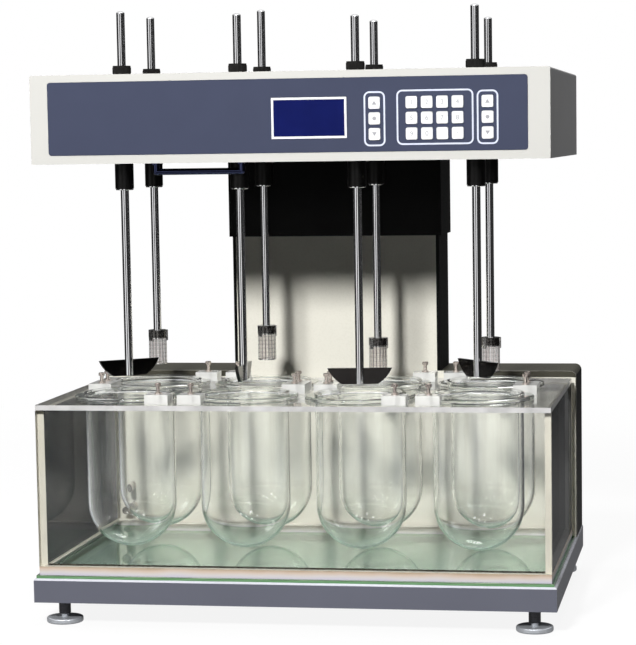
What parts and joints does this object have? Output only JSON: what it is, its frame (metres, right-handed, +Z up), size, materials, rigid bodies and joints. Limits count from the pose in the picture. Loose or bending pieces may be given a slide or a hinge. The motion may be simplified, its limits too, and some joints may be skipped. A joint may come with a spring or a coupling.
{
  "type": "dissolution tester",
  "caption": "Bench dissolution tester: clear heated bath holding round-bottomed glass vessels, under a lifting drive head that turns paddles and baskets, with keypad and display.",
  "frame": {"origin": "centre of the footprint, on the bench", "axes": "+Z up, -Y towards the operator, +X to the operator's right"},
  "size_m": [0.612, 0.43, 0.7182],
  "materials": {
    "base_paint": "blue-grey enamel",
    "green_glass": "polished, green edges",
    "clear_acrylic": "clear polished sheet",
    "vessel_glass": "clear laboratory glass",
    "stainless_steel": "polished stainless steel",
    "cream_paint": "satin cream enamel",
    "dark_paint": "satin black enamel",
    "black_metal": "black motor body",
    "black_plastic": "black moulded plastic",
    "grey_paint": "dark grey enamel",
    "cream_plastic": "cream moulded front",
    "panel_film": "printed blue-grey film",
    "display_glass": "dark blue display window",
    "circuit_board": "green board",
    "cast_housing": "machined housing",
    "aluminium": "machined",
    "rubber": "black belt",
    "chrome": "polished",
    "key_plastic": "white moulded key"
  },
  "bodies": {
    "frame": {"base_chassis": "base_paint", "glass_sheet": "green_glass", "water_tank": "clear_acrylic", "vessel_plate": "clear_acrylic", "vessels": "vessel_glass", "clamp_blocks": "clear_acrylic", "clamp_screws": "stainless_steel", "rear_fascia": "cream_paint", "cabinet_cover": "dark_paint", "column_cover": "dark_paint", "guide_rods": "stainless_steel", "lift_motor": "black_metal", "bath_circulator": "stainless_steel", "power_inlet": "black_plastic"},
    "head": {"head_cover": "grey_paint", "front_bezel": "cream_plastic", "head_floor_plate": "dark_paint", "panel_overlay": "panel_film", "display": "display_glass", "control_board": "circuit_board", "spindle_bearings": "cast_housing", "drive_motor": "black_metal", "drive_belt": "rubber", "lift_carriage": "aluminium", "column_shroud": "dark_paint", "grab_rail": "chrome"},
    "lift_screw": {"lift_screw": "stainless_steel"},
    "power_switch": {"power_switch": "black_plastic"},
    "motor_pulley": {"motor_pulley": "aluminium"},
    "paddle_1": {"paddle_station_1": "stainless_steel"},
    "basket_1": {"basket_station_1": "stainless_steel"},
    "paddle_2": {"paddle_station_2": "stainless_steel"},
    "basket_2": {"basket_station_2": "stainless_steel"},
    "paddle_3": {"paddle_station_3": "stainless_steel"},
    "basket_3": {"basket_station_3": "stainless_steel"},
    "paddle_4": {"paddle_station_4": "stainless_steel"},
    "basket_4": {"basket_station_4": "stainless_steel"},
    "foot_1": {"foot_1": "chrome"},
    "foot_2": {"foot_2": "chrome"},
    "foot_3": {"foot_3": "chrome"},
    "foot_4": {"foot_4": "chrome"},
    "key_1": {"key_1": "key_plastic"},
    "key_2": {"key_2": "key_plastic"},
    "key_3": {"key_3": "key_plastic"},
    "key_4": {"key_4": "key_plastic"},
    "key_5": {"key_5": "key_plastic"},
    "key_6": {"key_6": "key_plastic"},
    "key_7": {"key_7": "key_plastic"},
    "key_8": {"key_8": "key_plastic"},
    "key_9": {"key_9": "key_plastic"},
    "key_10": {"key_10": "key_plastic"},
    "key_11": {"key_11": "key_plastic"},
    "key_12": {"key_12": "key_plastic"},
    "key_13": {"key_13": "key_plastic"},
    "key_14": {"key_14": "key_plastic"},
    "key_15": {"key_15": "key_plastic"},
    "key_16": {"key_16": "key_plastic"},
    "key_17": {"key_17": "key_plastic"},
    "key_18": {"key_18": "key_plastic"}
  },
  "joints": [
    {"name": "head_lift", "type": "slide", "parent": "frame", "child": "head", "axis": [0, 0, 1], "range_m": [-0.167, 0]},
    {"name": "lift_screw_spin", "type": "hinge", "parent": "frame", "child": "lift_screw", "pos_m": [0, 0.16, 0.3], "axis": [0, 0, 1], "range_deg": [-3010, 0]},
    {"name": "switch_rock", "type": "hinge", "parent": "frame", "child": "power_switch", "pos_m": [0.225, 0.208, 0.1275], "axis": [1, 0, 0], "range_deg": [-16, 0]},
    {"name": "motor_spin", "type": "hinge", "parent": "head", "child": "motor_pulley", "pos_m": [0, 0.021, 0.585], "axis": [0, 0, 1], "continuous": true},
    {"name": "paddle_1_spin", "type": "hinge", "parent": "head", "child": "paddle_1", "pos_m": [-0.2085, -0.126, 0.56], "axis": [0, 0, 1], "continuous": true},
    {"name": "basket_1_spin", "type": "hinge", "parent": "head", "child": "basket_1", "pos_m": [-0.2085, 0.013, 0.56], "axis": [0, 0, 1], "continuous": true},
    {"name": "paddle_2_spin", "type": "hinge", "parent": "head", "child": "paddle_2", "pos_m": [-0.0695, -0.126, 0.56], "axis": [0, 0, 1], "continuous": true},
    {"name": "basket_2_spin", "type": "hinge", "parent": "head", "child": "basket_2", "pos_m": [-0.0695, 0.013, 0.56], "axis": [0, 0, 1], "continuous": true},
    {"name": "paddle_3_spin", "type": "hinge", "parent": "head", "child": "paddle_3", "pos_m": [0.0695, -0.126, 0.56], "axis": [0, 0, 1], "continuous": true},
    {"name": "basket_3_spin", "type": "hinge", "parent": "head", "child": "basket_3", "pos_m": [0.0695, 0.013, 0.56], "axis": [0, 0, 1], "continuous": true},
    {"name": "paddle_4_spin", "type": "hinge", "parent": "head", "child": "paddle_4", "pos_m": [0.2085, -0.126, 0.56], "axis": [0, 0, 1], "continuous": true},
    {"name": "basket_4_spin", "type": "hinge", "parent": "head", "child": "basket_4", "pos_m": [0.2085, 0.013, 0.56], "axis": [0, 0, 1], "continuous": true},
    {"name": "foot_1_level", "type": "slide", "parent": "frame", "child": "foot_1", "axis": [0, 0, 1], "range_m": [-0.006, 0.006]},
    {"name": "foot_2_level", "type": "slide", "parent": "frame", "child": "foot_2", "axis": [0, 0, 1], "range_m": [-0.006, 0.006]},
    {"name": "foot_3_level", "type": "slide", "parent": "frame", "child": "foot_3", "axis": [0, 0, 1], "range_m": [-0.006, 0.006]},
    {"name": "foot_4_level", "type": "slide", "parent": "frame", "child": "foot_4", "axis": [0, 0, 1], "range_m": [-0.006, 0.006]},
    {"name": "key_1_press", "type": "slide", "parent": "head", "child": "key_1", "axis": [0, 1, 0], "range_m": [0, 0.0006], "stiffness_N_per_m": 1500},
    {"name": "key_2_press", "type": "slide", "parent": "head", "child": "key_2", "axis": [0, 1, 0], "range_m": [0, 0.0006], "stiffness_N_per_m": 1500},
    {"name": "key_3_press", "type": "slide", "parent": "head", "child": "key_3", "axis": [0, 1, 0], "range_m": [0, 0.0006], "stiffness_N_per_m": 1500},
    {"name": "key_4_press", "type": "slide", "parent": "head", "child": "key_4", "axis": [0, 1, 0], "range_m": [0, 0.0006], "stiffness_N_per_m": 1500},
    {"name": "key_5_press", "type": "slide", "parent": "head", "child": "key_5", "axis": [0, 1, 0], "range_m": [0, 0.0006], "stiffness_N_per_m": 1500},
    {"name": "key_6_press", "type": "slide", "parent": "head", "child": "key_6", "axis": [0, 1, 0], "range_m": [0, 0.0006], "stiffness_N_per_m": 1500},
    {"name": "key_7_press", "type": "slide", "parent": "head", "child": "key_7", "axis": [0, 1, 0], "range_m": [0, 0.0006], "stiffness_N_per_m": 1500},
    {"name": "key_8_press", "type": "slide", "parent": "head", "child": "key_8", "axis": [0, 1, 0], "range_m": [0, 0.0006], "stiffness_N_per_m": 1500},
    {"name": "key_9_press", "type": "slide", "parent": "head", "child": "key_9", "axis": [0, 1, 0], "range_m": [0, 0.0006], "stiffness_N_per_m": 1500},
    {"name": "key_10_press", "type": "slide", "parent": "head", "child": "key_10", "axis": [0, 1, 0], "range_m": [0, 0.0006], "stiffness_N_per_m": 1500},
    {"name": "key_11_press", "type": "slide", "parent": "head", "child": "key_11", "axis": [0, 1, 0], "range_m": [0, 0.0006], "stiffness_N_per_m": 1500},
    {"name": "key_12_press", "type": "slide", "parent": "head", "child": "key_12", "axis": [0, 1, 0], "range_m": [0, 0.0006], "stiffness_N_per_m": 1500},
    {"name": "key_13_press", "type": "slide", "parent": "head", "child": "key_13", "axis": [0, 1, 0], "range_m": [0, 0.0006], "stiffness_N_per_m": 1500},
    {"name": "key_14_press", "type": "slide", "parent": "head", "child": "key_14", "axis": [0, 1, 0], "range_m": [0, 0.0006], "stiffness_N_per_m": 1500},
    {"name": "key_15_press", "type": "slide", "parent": "head", "child": "key_15", "axis": [0, 1, 0], "range_m": [0, 0.0006], "stiffness_N_per_m": 1500},
    {"name": "key_16_press", "type": "slide", "parent": "head", "child": "key_16", "axis": [0, 1, 0], "range_m": [0, 0.0006], "stiffness_N_per_m": 1500},
    {"name": "key_17_press", "type": "slide", "parent": "head", "child": "key_17", "axis": [0, 1, 0], "range_m": [0, 0.0006], "stiffness_N_per_m": 1500},
    {"name": "key_18_press", "type": "slide", "parent": "head", "child": "key_18", "axis": [0, 1, 0], "range_m": [0, 0.0006], "stiffness_N_per_m": 1500}
  ],
  "couplings": [
    {"joint": "lift_screw_spin", "follows": "head_lift", "rad_per_m": 314.16},
    {"joint": "motor_spin", "follows": "paddle_1_spin", "ratio": 1.6667},
    {"joint": "basket_1_spin", "follows": "paddle_1_spin", "ratio": 1},
    {"joint": "paddle_2_spin", "follows": "paddle_1_spin", "ratio": 1},
    {"joint": "basket_2_spin", "follows": "paddle_1_spin", "ratio": 1},
    {"joint": "paddle_3_spin", "follows": "paddle_1_spin", "ratio": 1},
    {"joint": "basket_3_spin", "follows": "paddle_1_spin", "ratio": 1},
    {"joint": "paddle_4_spin", "follows": "paddle_1_spin", "ratio": 1},
    {"joint": "basket_4_spin", "follows": "paddle_1_spin", "ratio": 1}
  ]
}
